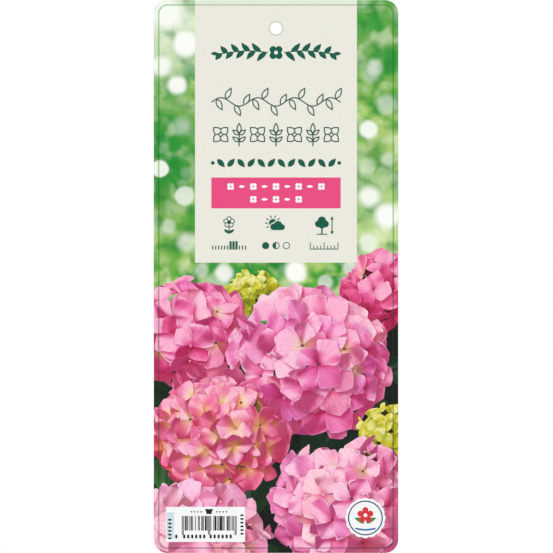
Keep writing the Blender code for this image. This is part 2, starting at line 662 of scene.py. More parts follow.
def relief(t, s, facts):
    # height of a petal's surface over its flat plan, in petal lengths
    bow = facts["curl"] * t * t
    gutter = facts["crease"] * np.sqrt(s * s + 0.002)
    frill = facts["frill"] * np.sin(facts["phase"] + 5.5 * t + 6.0 * s) * (4 * s * s + 0.4 * t)
    return bow + gutter + frill


def petalLight(facts):
    # light on the curved surface, and how much of it is the sky's
    step = 0.02
    t, s = facts["t"], facts["s"]
    slopeT = (relief(t + step, s, facts) - relief(t - step, s, facts)) / (2 * step)
    slopeS = (relief(t, s + step, facts) - relief(t, s - step, facts)) / (2 * step)
    normal = facts["facing"] - slopeT[:, None] * facts["along3"] - slopeS[:, None] * facts["across3"]
    normal = normal / np.linalg.norm(normal, axis=1)[:, None]
    key = np.clip(normal @ unit(np.array(light["from"])), 0, 1)
    sky = 0.5 + 0.5 * normal[:, 2]
    front = np.clip(-normal[:, 1], 0, 1)
    keyShare, skyShare, frontShare = light["shares"]
    return keyShare * key + skyShare * sky + frontShare * front, sky * (1 - key)


def inShade(colour, level):
    # light that bounces between petals leaves a richer colour where less falls in
    power = 1 + light["deepen"] * np.clip(1 - level, 0, 1)
    rich = np.clip(colour, 0.001, 1) ** power[:, None]
    return rich * (0.47 + 0.54 * np.clip(level, 0, 1.1))[:, None]


def paintPetal(facts):
    t, s, tone, edge = (facts[key] for key in ("t", "s", "tone", "edge"))
    base = mix(facts["rim"], facts["mid"], np.clip(tone * 1.1 + 0.1, 0, 1))
    heart = mix(facts["heart"], linear(tints["youngHeart"]), facts["young"] * 0.85)
    colour = mix(base, heart, smooth(t, facts["spread"], 0) * (0.55 + 0.4 * tone))
    pale = np.maximum(smooth(edge, *tints["paleEdge"]), smooth(t, *tints["paleTip"]))
    colour = mix(colour, np.minimum(facts["rim"] * 1.08 + 0.03, 1.0), pale * tints["paleShare"])
    level, sky = petalLight(facts)
    colour = colour * (1 + sky[:, None] * light["skyTint"])
    age = 1.5 * (facts["cast"] - 0.62) + 0.3 * np.sin(facts["phase"])
    colour = np.clip(colour * (1 + age[:, None] * tints["ageing"]), 0, 1)
    away, facing = light["depth"]
    footLight, footEnd = light["foot"]
    level = (level - light["black"]) / light["range"] * (away + facing * facts["depth"])
    level = level * (1 + light["petalPlay"] * facts["roll"])
    level = level * (footLight + (1 - footLight) * smooth(t, 0, footEnd))
    besideRoll = (np.sign(s) == facts["rollSide"]) & (facts["rollWidth"] > 0)
    besideRoll &= (t > facts["rollFrom"]) & (t < facts["rollTo"])
    underRoll = besideRoll * smooth(rollInner(t, facts) - edge, 0.30, 0)
    level = np.clip(level, 0.0, 1.15) * (1 - light["cast"] * facts["shade"])
    level = np.interp(level * (1 - light["underRoll"] * underRoll), *light["toneCurve"])
    return mix(inShade(colour, level), 1.0, smooth(level, *light["glare"]) * light["glareShare"])


def paintRolled(facts):
    # the underside of an edge that is rolled over, which catches the light
    across = (facts["edge"] - rollInner(facts["t"], facts)) / np.maximum(facts["rollWidth"], 0.05)
    level = (0.94 - 0.40 * np.clip(across, 0, 1) ** 2) * (0.66 + 0.34 * facts["depth"])
    return inShade(np.minimum(facts["rim"] * 0.75 + 0.24, 1.0), level * (1 - 0.9 * facts["shade"]))


def paintBead(facts):
    out = np.clip(np.hypot(facts["t"], facts["s"]), 0, 1)
    colour = mix(np.minimum(facts["rim"] * 1.02, 1), facts["rim"] * tints["beadRim"], out)
    colour = mix(colour, linear(tints["darkEye"]), facts["young"] * 0.9)
    return colour * (1 - 0.7 * facts["shade"])[:, None]


def paintCore(facts):
    # the dim inside of a head, blotched like florets that lie too deep to be made out
    x, z = facts["points"].T
    blotch = np.sin(x * 1.9 + 2 * np.sin(z * 1.3)) * np.sin(z * 1.7 + np.sin(x * 0.9))
    return facts["heart"] ** 2.2 * ((0.20 + 0.16 * blotch) * (1.1 - 0.85 * facts["shade"]))[:, None]


def paintStalk(facts):
    s = facts["s"]
    colour = mix(facts["rim"] * tints["stalkRim"], linear(tints["stalk"]), facts["tone"] * 0.8)
    return colour * ((0.75 - 1.3 * s * s - 0.25 * s) * (1.0 - 0.72 * facts["shade"]))[:, None]


def paintLeaf(facts):
    t, s, roll, shade = (facts[key] for key in ("t", "s", "roll", "shade"))
    dark, green, bright = (np.array(linear(leafRules[key])) for key in ("dark", "mid", "light"))
    colour = mix(dark, green, np.clip(facts["light"] * 1.3, 0, 1))
    colour = mix(colour, bright, smooth(facts["tone"], 0.6, 1.0) * np.clip(0.75 + roll * s, 0, 1))
    gloss = smooth(np.abs(s - 0.17 * np.sign(roll)), 0.11, 0) * smooth(t, 0, 0.2) * smooth(t, 1.0, 0.7)
    gloss = gloss * facts["light"] * (1 - 0.5 * shade)
    return colour * (1.25 - 1.08 * shade)[:, None] + gloss[:, None] * tints["leafGloss"]


def paintBed(facts):
    return np.array(linear(leafRules["dark"])) * (1 - 0.6 * facts["shade"])[:, None]


# the card's materials in their order on the mesh, then how each kind of shape is painted and in which
onPlastic, onGarden, onPetals, onLeaves = range(4)
kinds = {
    "petal": (paintPetal, onPetals),
    "rolled": (paintRolled, onPetals),
    "bead": (paintBead, onPetals),
    "core": (paintCore, onPetals),
    "stalk": (paintStalk, onPetals),
    "leaf": (paintLeaf, onLeaves),
    "bed": (paintBed, onLeaves),
}


def paintCorners(shapes, points, owner):
    # tint of every corner of the picture's triangles, and where it lies on its petal or leaf
    facts = {key: np.array([shape[key] for shape in shapes])[owner] for key in ("kind", "centre", *plain)}
    for key in ("rim", "mid", "heart"):
        facts[key] = np.array([linear(head[key]) for head in flowerHeads])[facts["head"]]
    facts["spread"] = np.array([head["spread"] for head in flowerHeads])[facts["head"]]
    into = np.array([intoShape(shape) for shape in shapes])[owner]
    facts["t"], facts["s"] = np.einsum("nij,nj->ni", into, points - facts["centre"]).T
    facts["edge"] = np.clip(np.abs(facts["s"]) / np.maximum(halfWidth(facts["t"]), 0.05), 0, 1)
    facts["shade"] = castShadows(shapes, points, owner)
    facts["points"] = points
    colours = np.zeros((len(points), 3))
    for kind, (paint, _) in kinds.items():
        mine = facts["kind"] == kind
        colours[mine] = paint({key: value[mine] for key, value in facts.items()})
    return colours, np.stack([facts["t"], facts["s"]], axis=1)


# Finishes

finish = {
    "ior": 1.49,            # polypropylene and varnish alike
    "roughness": 0.38,      # satin varnish
    "specular": 0.3,        # a thin matting varnish throws back less than bare plastic
    "roughnessPlay": 0.05,
    "varnishPatch": 6.0,    # the varnish lies a little uneven over patches this wide
    "peel": 0.9,            # orange peel of the varnish, drawn coarser than the real 0.2 so that it shows
    "peelHeight": 0.004,
    "inkGrain": 0.6,        # the screen of dots is 0.15, too fine to show, so it is this soft grain
    "grainDepth": 0.018,
}


def startMaterial(name):
    material = bpy.data.materials.new(name)
    material.use_nodes = True
    tree = material.node_tree
    tree.nodes.clear()
    where = addNode(tree, "TexCoord")
    place = addNode(tree, "VectorMath", {0: where.outputs["Object"], "Scale": 1 / mm}, operation="SCALE")
    return material, tree, place


def addSatin(tree, place, colour):
    # satin varnish: patches of slightly uneven gloss and a faint orange peel
    low, high = (finish["roughness"] + sign * finish["roughnessPlay"] for sign in (-1, 1))
    patch = addNode(tree, "TexNoise", {"Vector": place, "Scale": 1 / finish["varnishPatch"], "Detail": 3.0})
    rough = addNode(tree, "MapRange", {"Value": patch, "To Min": low, "To Max": high})
    peel = addNode(tree, "TexNoise", {"Vector": place, "Scale": 1 / finish["peel"], "Detail": 2.0})
    bump = addNode(tree, "Bump", {"Height": peel, "Strength": 0.5, "Distance": finish["peelHeight"] * mm})
    shader = addNode(tree, "BsdfPrincipled", {
        "Base Color": colour, "Roughness": rough, "Normal": bump,
        "IOR": finish["ior"], "Specular IOR Level": finish["specular"]})
    addNode(tree, "OutputMaterial", {"Surface": shader})


def fineLineMask(tree, place):
    # how strongly the fine line is printed here: the distance from a box with round corners, folded
    # into one quarter of the face, of which a narrow band is kept
    margin = fineLine["inset"] + fineLine["radius"]
    left, right, bottom, top = (sheet[key] for key in ("left", "right", "bottom", "top"))
    middle = ((left + right) / 2, 0, (bottom + top) / 2)
    half = ((right - left) / 2 - margin, 1e3, (top - bottom) / 2 - margin)
    moved = addNode(tree, "VectorMath", {0: place, 1: middle}, operation="SUBTRACT")
    folded = addNode(tree, "VectorMath", {0: moved}, operation="ABSOLUTE")
    beyond = addNode(tree, "VectorMath", {0: folded, 1: half}, operation="SUBTRACT")
    outside = addNode(tree, "VectorMath", {0: beyond, 1: (0, 0, 0)}, operation="MAXIMUM")
    corner = addNode(tree, "VectorMath", {0: outside}, operation="LENGTH")
    parts = addNode(tree, "SeparateXYZ", {0: beyond})
    inner = addNode(tree, "Math", {0: parts.outputs["X"], 1: parts.outputs["Z"]}, operation="MAXIMUM")
    within = addNode(tree, "Math", {0: inner, 1: 0.0}, operation="MINIMUM")
    total = addNode(tree, "Math", {0: corner, 1: within}, operation="ADD")
    away = addNode(tree, "Math", {0: total, 1: fineLine["radius"]}, operation="SUBTRACT")
    apart = addNode(tree, "Math", {0: away}, operation="ABSOLUTE")
    full, end = (fineLine["width"] * share for share in fineLine["softEdge"])
    return addNode(tree, "MapRange", {"Value": apart, "From Min": full, "From Max": end,
                                      "To Min": fineLine["strength"], "To Max": 0.0})


def finishPrint(tree, place, colour, letsThrough=None):
    # the last steps of every ink: soft grain of the dot screen, then the fine line printed over it
    low, high = 1 - finish["grainDepth"], 1 + finish["grainDepth"]
    grain = addNode(tree, "TexNoise", {"Vector": place, "Scale": 1 / finish["inkGrain"], "Detail": 1.0})
    level = addNode(tree, "MapRange", {"Value": grain, "To Min": low, "To Max": high})
    last = addNode(tree, "VectorMath", {0: colour, "Scale": level}, operation="SCALE")
    if letsThrough:
        tint = linear(fineLine["tint"])
        darker = addNode(tree, "VectorMath", {0: last, 1: letsThrough, 2: tint}, operation="MULTIPLY_ADD")
        mask = fineLineMask(tree, place)
        last = addNode(tree, "Mix", {"Factor": mask, "A": last, "B": darker}, data_type="RGBA")
    addSatin(tree, place, last)


def flatInk(name, hexColour, slot):
    # a solid offset ink, even and opaque, as satin as the sheet that shows beside it
    material, tree, place = startMaterial(name)
    finishPrint(tree, place, linear(hexColour))
    return material, slot


def sheetPlastic():
    # cast polypropylene sheet, white through and through: satin and faintly mottled
    material, tree, place = startMaterial("whitePolypropyleneSheet")
    cloud = addNode(tree, "TexNoise", {"Vector": place, "Scale": 1 / sheet["mottle"], "Detail": 4.0})
    dull, bright = map(rgba, sheet["colours"])
    tint = addNode(tree, "Mix", {"Factor": cloud, "A": dull, "B": bright}, data_type="RGBA")
    addSatin(tree, place, tint)
    return material


bokeh = {
    "greens": ((0.32, "#188430"), (0.43, "#3A9C34"), (0.52, "#64AE42"),
               (0.60, "#A2C868"), (0.72, "#DDECBC")),
    "cloud": 13.0,          # width of the soft clouds of green
    "mottle": 5.4,          # width of the smaller blots inside them
    "veil": 8.0,            # width of the milky patches over them
    # how blots and milky patches are laid on: full at, gone at, weight, colour
    "paleBlots": (0.76, 0.50, 0.50, "#BFD674"),
    "darkBlots": (0.24, 0.50, 0.55, "#1D822C"),
    "milky": (0.72, 0.50, 0.40, "#EAF2CC"),
    "stray": 8.0,           # width of the waves that bend them, and how far blots and spots are bent
    "bend": 3.8,
    "spotBend": 1.4,
    "light": "#FDFFF8",
    # soft patches laid over the clouds: x, z, reach, weight, colour
    "patches": ((-48.0, 2.0, 34.0, 0.66, "#F2F8E6"), (-45.0, -48.0, 34.0, 0.86, "#259434"),
                (-53.0, -66.0, 22.0, 0.74, "#1C8A2E"), (45.0, -4.0, 34.0, 0.72, "#33983A"),
                (40.0, -50.0, 24.0, 0.42, "#AECB7C"), (46.0, -80.0, 26.0, 0.50, "#D6E6AC"),
                (-42.0, -86.0, 20.0, 0.45, "#74AE4A")),
    # the brightest spots of light, far out of focus: x, z, radius, weight, how soft their rims are
    "spots": ((-44.0, 6.0, 8.0, 0.95, 0.6), (-36.5, -6.0, 6.0, 1.0, 0.4), (-46.5, -15.0, 5.0, 0.9, 0.6),
              (-40.0, -23.0, 4.4, 0.95, 0.5), (-47.0, -57.0, 3.4, 0.9, 0.2), (-37.0, -68.0, 4.2, 0.66, 0.25),
              (-43.5, -80.0, 3.4, 0.4, 0.5), (-36.0, -87.0, 5.0, 0.5, 0.6), (40.0, -16.0, 4.0, 0.4, 0.6),
              (45.0, -31.0, 4.6, 0.4, 0.5), (37.5, -41.0, 4.0, 0.9, 0.35), (45.5, -53.0, 3.6, 0.4, 0.5),
              (38.0, -68.0, 5.4, 0.9, 0.6), (45.0, -76.0, 6.4, 1.0, 0.6), (37.5, -87.0, 4.4, 0.7, 0.5),
              (-21.0, -99.0, 4.2, 0.8, 0.5), (8.0, -98.5, 5.2, 1.0, 0.45), (20.0, -103.0, 3.4, 0.5, 0.4),
              (-30.0, -98.0, 3.2, 0.4, 0.5), (30.0, -97.0, 3.6, 0.6, 0.5)),
    # fainter ones by chance: width of the cell each lies in, radius as a share of it, weight, shift
    "chance": ((15.0, 0.30, 0.30, 3.0), (8.0, 0.32, 0.14, 11.0)),
    "chosen": (0.45, 0.85),  # which of the cells have one, by their random tint
}


def blurredGarden():
    # offset print of a garden far out of focus: clouds of green and soft spots of light
    material, tree, place = startMaterial("offsetPrintBlurredGreen")

    def lay(last, value, full, gone, weight, colour):
        # the colour over the last, at its weight where the value is at full, softly down to nothing at gone
        inputs = {"Value": value, "From Min": full, "From Max": gone, "To Min": weight, "To Max": 0.0}
        share = addNode(tree, "MapRange", inputs, interpolation_type="SMOOTHSTEP")
        return addNode(tree, "Mix", {"Factor": share, "A": last, "B": rgba(colour)}, data_type="RGBA")

    def bent(reach):
        amount = (reach, reach, 0)
        return addNode(tree, "VectorMath", {0: centred, 1: amount, 2: flat}, operation="MULTIPLY_ADD")

    parts = addNode(tree, "SeparateXYZ", {0: place})
    flat = addNode(tree, "CombineXYZ", {0: parts.outputs["X"], 1: parts.outputs["Z"]})
    stray = addNode(tree, "TexNoise", {"Vector": flat, "Scale": 1 / bokeh["stray"], "Detail": 1.0})
    half = (0.5, 0.5, 0.5)
    centred = addNode(tree, "VectorMath", {0: stray.outputs["Color"], 1: half}, operation="SUBTRACT")
    blots = bent(bokeh["bend"])
    cloud = addNode(tree, "TexNoise", {"Vector": blots, "Scale": 1 / bokeh["cloud"], "Detail": 2.5})
    last = addNode(tree, "ValToRGB", {0: cloud})
    stops = last.color_ramp.elements
    for number, (at, colour) in enumerate(bokeh["greens"]):
        stop = stops[number] if number < 2 else stops.new(at)
        stop.position = at
        stop.color = rgba(colour)
    last.color_ramp.interpolation = "EASE"
    mottle = addNode(tree, "TexNoise", {"Vector": blots, "Scale": 1 / bokeh["mottle"], "Detail": 0.6})
    last = lay(last, mottle, *bokeh["paleBlots"])
    for x, z, reach, weight, colour in bokeh["patches"]:
        far = addNode(tree, "VectorMath", {0: blots, 1: (x, z, 0)}, operation="DISTANCE")
        last = lay(last, far, reach * 0.2, reach, weight, colour)
    last = lay(last, mottle, *bokeh["darkBlots"])
    veil = addNode(tree, "TexNoise", {"Vector": place, "Scale": 1 / bokeh["veil"], "Detail": 1.5})
    last = lay(last, veil, *bokeh["milky"])
    places = bent(bokeh["spotBend"])
    least, most = bokeh["chosen"]
    for cell, radius, weight, shift in bokeh["chance"]:
        moved = addNode(tree, "VectorMath", {0: places, 1: (shift, shift * 1.7, 0)}, operation="ADD")
        cells = addNode(tree, "TexVoronoi", {"Vector": moved, "Scale": 1 / cell, "Randomness": 0.8},
                        voronoi_dimensions="2D")
        tint = addNode(tree, "SeparateColor", {0: cells.outputs["Color"]})
        chosen = addNode(tree, "MapRange", {"Value": tint, "From Min": least, "From Max": most,
                                            "To Max": weight})
        last = lay(last, cells, radius * 0.4, radius * 1.2, chosen, bokeh["light"])
    for x, z, radius, weight, soft in bokeh["spots"]:
        far = addNode(tree, "VectorMath", {0: places, 1: (x, z, 0)}, operation="DISTANCE")
        last = lay(last, far, radius * (1 - soft), radius * 1.12, weight, bokeh["light"])
    finishPrint(tree, place, last, fineLine["overGreen"])
    return material


veins = {
    "count": 15.0,
    "strength": 0.10,
    "foot": 0.25,           # they fan out from this far below the petal's foot
    "wander": (2.0, 0.22),  # width of their waves, and how far they stray
    "mottle": (2.6, 0.10),  # width and strength of the clouds in a petal's tint
    "wash": 5.0,            # width of the warmer washes over it
    "washTint": (1.0, 0.72, 0.86),
    "washShare": 0.35,
    "leafRibs": 9.0,
    "leafStrength": 0.35,
    "midrib": (0.012, 0.03),  # half its width where it is full and where it ends
    "midribStrength": 0.5,
    "paler": (2.2, 2.2, 2.0),  # what a rib does to the leaf's tint
    "lifted": (0.004, 0.01, 0.004),
}


def petalPrint():
    # offset print of flower heads: the tint of each petal with fine veins that fan out from its foot
    material, tree, place = startMaterial("offsetPrintPinkPetals")
    tint = addNode(tree, "Attribute", attribute_name="petalTint")
    local = addNode(tree, "UVMap", uv_map="petalPlace")
    parts = addNode(tree, "SeparateXYZ", {0: local})
    foot = addNode(tree, "Math", {0: parts.outputs["X"], 1: veins["foot"]}, operation="ADD")
    fan = addNode(tree, "Math", {0: parts.outputs["Y"], 1: foot}, operation="DIVIDE")
    width, stray = veins["wander"]
    wander = addNode(tree, "TexNoise", {"Vector": place, "Scale": 1 / width, "Detail": 2.0})
    bent = addNode(tree, "Math", {0: wander, 2: fan, 1: stray}, operation="MULTIPLY_ADD")
    wave = addNode(tree, "Math", {0: bent, 1: veins["count"] * 2}, operation="MULTIPLY")
    ripple = addNode(tree, "Math", {0: wave}, operation="SINE")
    thin = addNode(tree, "MapRange", {"Value": ripple, "From Min": 0.35, "From Max": 1.0,
                                      "To Min": 1.0, "To Max": 1.0 - veins["strength"]})
    width, strength = veins["mottle"]
    mottle = addNode(tree, "TexNoise", {"Vector": place, "Scale": 1 / width, "Detail": 3.0})
    level = addNode(tree, "MapRange", {"Value": mottle, "To Min": 1 - strength, "To Max": 1 + strength})
    share = addNode(tree, "Math", {0: thin, 1: level}, operation="MULTIPLY")
    scaled = addNode(tree, "VectorMath", {0: tint, "Scale": share}, operation="SCALE")
    wash = addNode(tree, "TexNoise", {"Vector": place, "Scale": 1 / veins["wash"], "Detail": 2.0})
    washed = addNode(tree, "MapRange", {"Value": wash, "From Min": 0.42, "From Max": 0.7,
                                        "To Max": veins["washShare"]})
    warmer = addNode(tree, "VectorMath", {0: scaled, 1: veins["washTint"]}, operation="MULTIPLY")
    over = addNode(tree, "Mix", {"Factor": washed, "A": scaled, "B": warmer}, data_type="RGBA")
    finishPrint(tree, place, over, fineLine["overPetals"])
    return material


def leafPrint():
    # offset print of dark leaves in shade, with a pale midrib and ribs that slant to the tip
    material, tree, place = startMaterial("offsetPrintDarkLeaves")
    tint = addNode(tree, "Attribute", attribute_name="petalTint")
    local = addNode(tree, "UVMap", uv_map="petalPlace")
    parts = addNode(tree, "SeparateXYZ", {0: local})
    side = addNode(tree, "Math", {0: parts.outputs["Y"]}, operation="ABSOLUTE")
    slant = addNode(tree, "Math", {0: parts.outputs["X"], 1: side}, operation="SUBTRACT")
    wave = addNode(tree, "Math", {0: slant, 1: veins["leafRibs"] * 2 * math.pi}, operation="MULTIPLY")
    ripple = addNode(tree, "Math", {0: wave}, operation="COSINE")
    rib = addNode(tree, "MapRange", {"Value": ripple, "From Min": 0.86, "From Max": 1.0,
                                     "To Max": veins["leafStrength"]})
    full, end = veins["midrib"]
    midrib = addNode(tree, "MapRange", {"Value": side, "From Min": full, "From Max": end,
                                        "To Min": veins["midribStrength"], "To Max": 0.0})
    both = addNode(tree, "Math", {0: rib, 1: midrib}, operation="MAXIMUM")
    inputs = {0: tint, 1: veins["paler"], 2: veins["lifted"]}
    pale = addNode(tree, "VectorMath", inputs, operation="MULTIPLY_ADD")
    over = addNode(tree, "Mix", {"Factor": both, "A": tint, "B": pale}, data_type="RGBA")
    finishPrint(tree, place, over, fineLine["overGreen"])
    return material


# The printed sheet

def buildPicture():
    shapes = []
    addLeaves(shapes)
    for number, head in enumerate(flowerHeads):
        addHead(shapes, {**head, "number": number})
    kept = shapesThatShow(shapes)
    print("picture:", len(shapes), "shapes,", len(kept), "that show")
    return kept


def shadingPoints():
    # points spread over the foot of the face, a little out of line so that no grid shows
    step = picture["grain"]
    xs = np.arange(sheet["left"] + step / 2, sheet["right"], step)
    zs = np.arange(sheet["bottom"] + step / 2, picture["top"], step)
    points = np.stack(np.meshgrid(xs, zs), axis=-1).reshape(-1, 2)
    rng = np.random.default_rng(picture["seed"])
    points = points + rng.uniform(-picture["stray"], picture["stray"], points.shape) * step
    low = np.array([sheet["left"], sheet["bottom"]]) + picture["margin"]
    high = np.array([sheet["right"], sheet["top"]]) - picture["margin"]
    return np.clip(points, low, high)


def cutFace(shapes):
    # the face in triangles, each with the number of the shape that it shows, or -1 where it shows none
    left, right, bottom, top = (sheet[key] for key in ("left", "right", "bottom", "top"))
    outline = roundedBox(left, right, bottom, top, sheet["cornerRadius"], sheet["cornerSteps"])
    hole = disc(0, 0, sheet["holeRadius"], sheet["holeSides"])
    outlines = [outline, hole] + [shape["outline"] for shape in shapes]
    corners, triangles, covers = planarMap(outlines, shadingPoints())
    print("picture cut into", len(triangles), "triangles")
    shown = [(t, max(over) - 2) for t, over in zip(triangles, covers) if 0 in over and 1 not in over]
    front, owner = (np.array(column) for column in zip(*shown))
    a, b, c = (corners[front[:, i]] for i in range(3))
    turning = (b - a)[:, 0] * (c - a)[:, 1] - (b - a)[:, 1] * (c - a)[:, 0]
    front[turning < 0] = front[turning < 0, ::-1]
    notFlat = np.abs(turning) > 1e-9
    return corners, front[notFlat], np.maximum(owner[notFlat], -1)


def buildSheet():
    shapes = buildPicture()
    corners, front, owner = cutFace(shapes)
    shape = flatFaces(corners, front, sheet["front"])
    rim = [edge for edge in shape.edges if len(edge.link_faces) == 1]
    pulled = bmesh.ops.extrude_edge_only(shape, edges=rim)["geom"]
    moveTo(pulled, sheet["back"])
    edges = [item for item in pulled if isinstance(item, bmesh.types.BMEdge)]
    backRim = [edge for edge in edges if len(edge.link_faces) == 1]
    bmesh.ops.triangle_fill(shape, use_beauty=True, edges=backRim)
    mesh = finishMesh("printed_card", shape)

    ownerOfLoop = np.repeat(owner, 3)
    painted = np.flatnonzero(ownerOfLoop >= 0)
    colours, places = paintCorners(shapes, corners[front.reshape(-1)[painted]], ownerOfLoop[painted])
    colourOfLoop = np.zeros((len(mesh.loops), 4), np.float32)
    colourOfLoop[:, 3] = 1
    colourOfLoop[painted, :3] = colours
    tint = mesh.color_attributes.new("petalTint", "FLOAT_COLOR", "CORNER")
    tint.data.foreach_set("color", colourOfLoop.ravel())
    placeOfLoop = np.zeros((len(mesh.loops), 2), np.float32)
    placeOfLoop[painted] = places
    mesh.uv_layers.new(name="petalPlace").data.foreach_set("uv", placeOfLoop.ravel())
    giveBakeMap(mesh, front.size)

    material = np.full(len(mesh.polygons), onPlastic, np.int32)
    material[:len(front)] = np.array([kinds[shape["kind"]][1] for shape in shapes] + [onGarden])[owner]
    mesh.polygons.foreach_set("material_index", material)
    mesh.update()
    materials = [sheetPlastic(), blurredGarden(), petalPrint(), leafPrint()]
    piece = link("printed_card", mesh, materials)
    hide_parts("label_sheet")


buildSheet()
print("sheet printed")

# The cream panel with its plain ornaments

panel = {"halfWidth": 32.8, "bottom": -94.9, "colours": ("#EDEBE0", "#E5EDDB"), "ringRadius": 2.9}


def panelInk():
    # offset print in a pale cream, a little greener outside the fine line
    material, tree, place = startMaterial("offsetPrintCream")
    parts = addNode(tree, "SeparateXYZ", {0: place})
    lineHeight = sheet["top"] - fineLine["inset"]
    outside = addNode(tree, "Math", {0: parts.outputs["Z"], 1: lineHeight}, operation="GREATER_THAN")
    cream, greener = map(rgba, panel["colours"])
    tint = addNode(tree, "Mix", {"Factor": outside, "A": cream, "B": greener}, data_type="RGBA")
    finishPrint(tree, place, tint, fineLine["overPanel"])
    return material, "cream_ink"


deepGreen = flatInk("offsetPrintDeepGreen", "#0B5B47", "green_ink")
softGreen = flatInk("offsetPrintGreyGreen", "#3E5F56", "green_ink")
strongPink = flatInk("offsetPrintStrongPink", "#EC4B82", "pink_ink")
paperWhite = flatInk("offsetPrintOpaqueWhite", "#F6F8F8", "white_ink")
ringGreen = flatInk("offsetPrintPaleGreen", "#B9C6B2", "green_ink")
barBlack = flatInk("offsetPrintBlack", "#161618", "black_ink")
stripBlue = flatInk("offsetPrintPaleBlue", "#CFE0E8", "white_ink")
badgeBlue = flatInk("offsetPrintNavy", "#28406E", "black_ink")
badgeRed = flatInk("offsetPrintRed", "#D8323C", "pink_ink")
badgeSky = flatInk("offsetPrintBlue", "#2F6FB0", "black_ink")
badgeLeaf = flatInk("offsetPrintLeafGreen", "#3F8A45", "green_ink")


def put(layers, *outlines):
    layers.extend((outline, True) for outline in outlines)


def clear(layers, *outlines):
    layers.extend((outline, False) for outline in outlines)


def putLine(layers, shape, width):
    # the shape drawn as a thin line, with what lies under it cleared
    ordered = anticlockwise(shape)
    put(layers, ordered)
    clear(layers, inset(ordered, width))


def printPanel():
    hole = disc(0, 0, sheet["holeRadius"], sheet["holeSides"])
    face = box(-panel["halfWidth"], panel["halfWidth"], panel["bottom"], sheet["top"])
    ring = disc(0, 0, panel["ringRadius"], sheet["holeSides"])
    inkFilm("cream_panel", [(face, True), (hole, False)], panelInk())
    inkFilm("hole_ring", [(ring, True), (hole, False)], ringGreen, 2)


sprig = {
    "z": -9.8,
    "start": 3.4,           # the stem runs from here to its reach, with this bow in it
    "reach": 23.6,
    "bow": 0.7,
    "stem": 0.42,
    "leaves": 9,
    "leaf": (5.4, 2.1),     # length and width, and how much shorter the last one is
    "taper": 0.32,
    "slope": 44,
    "bend": -0.07,
    "endLeaf": (3.2, 1.5, 4),
    "blossom": 3.1,
    "eye": 0.8,
}


def makeSprig():
    # a sprig lying along the head of the panel, the same to both sides
    layers = []
    span = sprig["reach"] - sprig["start"]
    length, width = sprig["leaf"]
    endLength, endWidth, endSlope = sprig["endLeaf"]

    def onStem(side, t):
        return side * (sprig["start"] + t * span), sprig["z"] + sprig["bow"] * math.sin(math.pi * t * 1.3)

    for side in (-1, 1):
        put(layers, strokeOutline([onStem(side, t) for t in np.linspace(0, 1, 14)], sprig["stem"]))
        for number in range(sprig["leaves"]):
            t = (number + 0.2) / sprig["leaves"]
            up = 1 if number % 2 else -1
            size = length * (1.0 - sprig["taper"] * t)
            degrees = leaning(sprig["slope"] * up, side)
            put(layers, leafOutline(*onStem(side, t), size, width, degrees, bend=sprig["bend"] * up * side))
        x, z = onStem(side, 1.0)
        put(layers, leafOutline(x - side * 0.3, z, endLength, endWidth, leaning(endSlope, side)))
    put(layers, blossomOutline(0, sprig["z"], sprig["blossom"], 4, 45))
    clear(layers, disc(0, sprig["z"], sprig["eye"]))
    inkFilm("head_sprig", layers, deepGreen, 2)


vine = {
    "line": 0.5,
    "halfLength": 26.0,
    "rowOne": -29.8,
    "waves": (3.5, 1.7),    # how many, and how high
    "leaves": 14,
    "leaf": (5.3, 2.5, 62),  # length, width, slope
    "rowTwo": -43.0,
    "florets": 7,           # open ones and buds on stalks take turns
    "floretInset": 3.6,
    "petal": (4.3, 3.5),
    "eye": (1.0, 0.5),
    "budStalk": (-4.6, 0.4),
    "budLeaf": (3.6, 1.9, 38),
    "budLeafHeights": (-3.0, -0.2),
    "bud": (4.4, 2.2, 90),
    "budHeight": 0.5,
}


def makeVine():
    # two rows of thin line drawing: a running stem with leaves, and a garland of open florets
    layers = []
    line, half, z = vine["line"], vine["halfLength"], vine["rowTwo"]
    waves, height = vine["waves"]

    def onStem(t):
        return 2 * half * t - half, vine["rowOne"] + height * math.sin(t * waves * 2 * math.pi)

    put(layers, strokeOutline([onStem(i / 84) for i in range(85)], line))
    length, width, slope = vine["leaf"]
    for number in range(vine["leaves"]):
        up = 1 if number % 2 else -1
        leaf = leafOutline(*onStem((number + 0.5) / vine["leaves"]), length, width, up * slope, 12)
        putLine(layers, leaf, line)
    reach = half - vine["floretInset"]
    for number in range(vine["florets"]):
        x = -reach + number * 2 * reach / (vine["florets"] - 1)
        if number % 2 == 0:
            for k in range(4):
                putLine(layers, leafOutline(x, z, *vine["petal"], 45 + 90 * k, 12), line)
            outer, inner = vine["eye"]
            put(layers, disc(x, z, outer))
            clear(layers, disc(x, z, inner, 16))
            continue
        low, high = vine["budStalk"]
        put(layers, strokeOutline([(x, z + low + (high - low) * i / 10) for i in range(11)], line))
        length, width, slope = vine["budLeaf"]
        for side in (-1, 1):
            for height in vine["budLeafHeights"]:
                putLine(layers, leafOutline(x, z + height, length, width, leaning(slope, side), 12), line)
        putLine(layers, leafOutline(x, z + vine["budHeight"], *vine["bud"], 12), line)
    inkFilm("title_vine", layers, softGreen, 2)


leafRow = {
    "z": -54.5,
    "reach": 22.5,
    "count": 12,
    "leaf": (4.4, 2.2, 48),
    "foot": (-1.2, -1.5),   # of each leaf from its place in the row
    "dotX": 25.6,
    "dot": 0.75,
}


